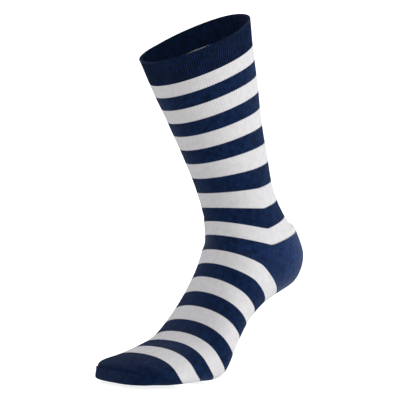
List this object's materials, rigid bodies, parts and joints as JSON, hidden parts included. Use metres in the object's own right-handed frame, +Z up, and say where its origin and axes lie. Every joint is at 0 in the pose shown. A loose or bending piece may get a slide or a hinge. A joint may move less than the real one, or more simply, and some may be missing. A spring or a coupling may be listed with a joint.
{
  "type": "crew sock",
  "caption": "Hollow knitted sock with a ribbed cuff, a turned heel and a closed toe, filled out on tiptoe with its mouth open.",
  "frame": {"origin": "centre of the sock's open mouth, where the wearer's leg fills and holds it", "axes": "+Z up, -Y towards the toe, +Y towards the heel, X across the foot"},
  "size_m": [0.102, 0.1871, 0.2954],
  "materials": {
    "navy_rib": "matt fine rib knit, navy",
    "navy_knit": "matt plain cotton knit, navy",
    "striped_knit": "matt plain cotton knit, white and navy stripes"
  },
  "bodies": {
    "root": {"cuff": "navy_rib", "leg": "striped_knit", "heel": "navy_knit", "foot": "striped_knit", "toe": "navy_knit", "toe_seam": "navy_knit"}
  },
  "joints": []
}
